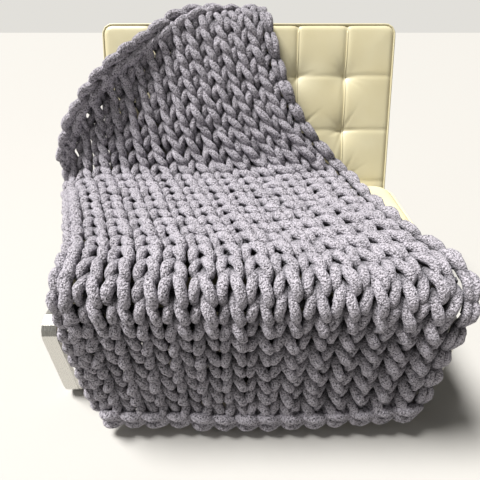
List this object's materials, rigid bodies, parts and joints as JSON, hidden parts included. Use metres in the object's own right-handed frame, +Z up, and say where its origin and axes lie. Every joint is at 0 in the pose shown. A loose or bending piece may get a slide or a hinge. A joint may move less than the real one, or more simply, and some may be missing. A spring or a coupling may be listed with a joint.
{
  "type": "chunky knit blanket on an armless lounge chair",
  "caption": "Chunky knit chenille blanket draped over the back, seat and front edge of a plain armless chair with tufted leather cushions and a flat-bar frame.",
  "frame": {"origin": "bottom centre of the whole object's box, on the floor", "axes": "+X to the right of someone facing the seat, +Y from the hanging front of the blanket towards the chair's back, +Z up"},
  "size_m": [0.965, 0.7382, 0.8034],
  "materials": {
    "knit_yarn": "soft chenille pile",
    "ivory_leather": "smooth semi-gloss",
    "frame_steel": "satin",
    "board_wood": "matt"
  },
  "bodies": {
    "root": {"blanket": "knit_yarn", "seat_cushion": "ivory_leather", "back_cushion": "ivory_leather", "back_panel": "ivory_leather", "seat_board": "board_wood", "side_frame_left": "frame_steel", "side_frame_right": "frame_steel", "back_strut_left": "frame_steel", "back_strut_right": "frame_steel", "cross_bar_front": "frame_steel", "cross_bar_middle": "frame_steel", "cross_bar_rear": "frame_steel"}
  },
  "joints": []
}
